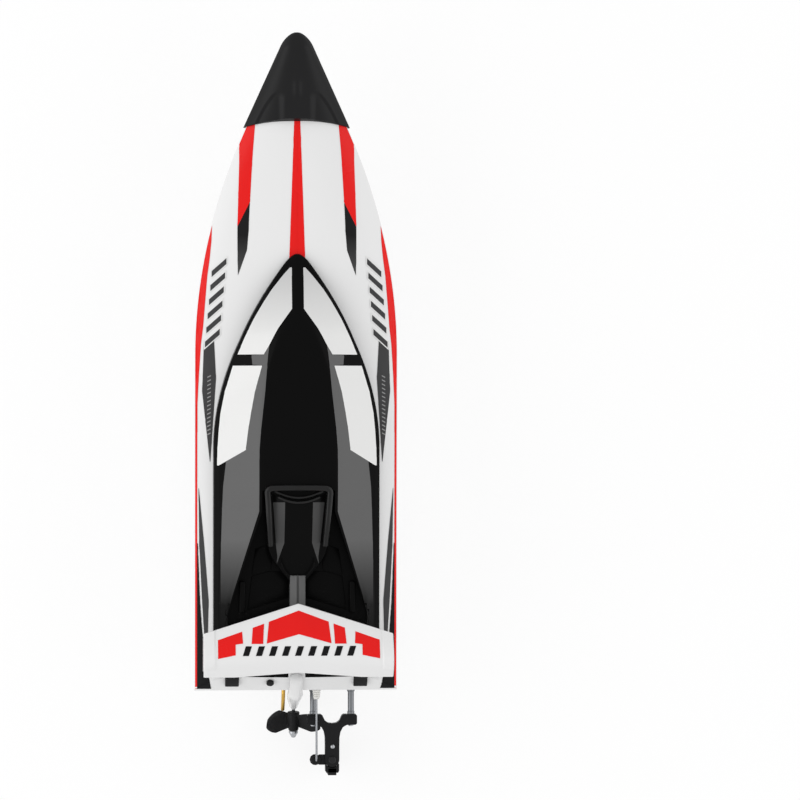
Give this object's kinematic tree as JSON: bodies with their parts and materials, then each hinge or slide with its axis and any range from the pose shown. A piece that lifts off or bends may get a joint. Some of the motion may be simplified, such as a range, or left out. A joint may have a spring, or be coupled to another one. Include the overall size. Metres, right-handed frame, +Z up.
{
  "type": "radio-controlled boat",
  "caption": "Deep-V radio-controlled racing boat with lift-off canopy and wing, nose bumper, water-cooled motor, shaft-driven propeller and servo-steered rudder.",
  "frame": {"origin": "middle of the whole boat's box, at its lowest point, the flat foot of the skeg", "axes": "+Y along the keel towards the bow, +X to starboard, +Z up"},
  "size_m": [0.117, 0.4287, 0.09],
  "materials": {
    "white_shell": "moulded gloss white plastic",
    "white_fitting": "satin white moulded plastic",
    "black_gloss": "gloss black moulded plastic",
    "black_bumper": "satin black soft plastic",
    "black_fitting": "satin black moulded plastic",
    "motor_steel": "drawn steel",
    "coil_metal": "bright wound tube",
    "brass": "drawn brass",
    "hose": "milky silicone",
    "battery_wrap": "blue shrink wrap",
    "board": "dark shrink wrap",
    "red_lead": "red insulation",
    "black_lead": "black insulation",
    "orange_lead": "flat three-wire insulation",
    "red_plug": "moulded plug"
  },
  "bodies": {
    "hull": {"hull_shell": "white_shell", "deck_shell": "white_shell", "shaft_strut": "white_shell", "bow_shelf": "white_fitting", "battery_tray": "white_fitting", "servo_cradle": "white_fitting", "servo_strap": "white_fitting", "pushrod_boot": "white_fitting", "drain_plug": "black_fitting", "motor_end_bell": "black_fitting", "motor_mount": "black_fitting", "shaft_clamp": "black_fitting", "rudder_bracket": "black_fitting", "servo_case": "black_fitting", "water_sensor": "black_fitting", "motor_can": "motor_steel", "shaft_tube": "motor_steel", "rudder_post_left": "motor_steel", "rudder_post_right": "motor_steel", "rudder_pin": "motor_steel", "cooling_coil": "coil_metal", "water_pickup": "brass", "water_outlet": "brass", "inlet_hose": "hose", "outlet_hose": "hose", "battery_pack": "battery_wrap", "esc_box": "board", "battery_lead_red": "red_lead", "motor_lead_red": "red_lead", "plug_lead_red": "red_lead", "battery_lead_black": "black_lead", "motor_lead_black": "black_lead", "plug_lead_black": "black_lead", "servo_lead": "orange_lead", "charge_plug": "red_plug"},
    "canopy": {"canopy_shell": "black_gloss", "rear_wing": "white_shell", "canopy_clip_left": "black_fitting", "canopy_clip_right": "black_fitting"},
    "bumper": {"nose_bumper": "black_bumper"},
    "drive": {"motor_shaft": "motor_steel", "shaft_coupling": "motor_steel", "drive_shaft": "motor_steel", "propeller": "black_fitting", "propeller_nut": "motor_steel"},
    "rudder": {"rudder": "black_fitting"},
    "pushrod": {"pushrod": "motor_steel"},
    "horn": {"servo_horn": "white_fitting"},
    "battery_clip": {"battery_clip": "white_fitting"}
  },
  "joints": [
    {"name": "canopy_lift", "type": "slide", "parent": "hull", "child": "canopy", "axis": [0, 0, 1], "range_m": [0, 0.16]},
    {"name": "bumper_pull", "type": "slide", "parent": "hull", "child": "bumper", "axis": [0, 1, 0], "range_m": [0, 0.07]},
    {"name": "shaft_spin", "type": "hinge", "parent": "hull", "child": "drive", "pos_m": [0, -0.18435, 0.0175], "axis": [0, 0.9954, 0.0958], "continuous": true},
    {"name": "rudder_turn", "type": "hinge", "parent": "hull", "child": "rudder", "pos_m": [0.02155, -0.20545, 0.0362], "axis": [0, 0, 1], "range_deg": [-25, 25]},
    {"name": "pushrod_slide", "type": "slide", "parent": "hull", "child": "pushrod", "axis": [0, 1, 0], "range_m": [-0.0041, 0.0041]},
    {"name": "horn_turn", "type": "hinge", "parent": "hull", "child": "horn", "pos_m": [0.0135, -0.12485, 0.0336], "axis": [1, 0, 0], "range_deg": [-26, 26]},
    {"name": "battery_clip_turn", "type": "hinge", "parent": "hull", "child": "battery_clip", "pos_m": [-0.0063, -0.06135, 0.0452], "axis": [0, 0, 1], "range_deg": [0, 170]}
  ],
  "couplings": [
    {"joint": "rudder_turn", "follows": "pushrod_slide", "rad_per_m": -105.26},
    {"joint": "horn_turn", "follows": "pushrod_slide", "rad_per_m": -105.26}
  ]
}
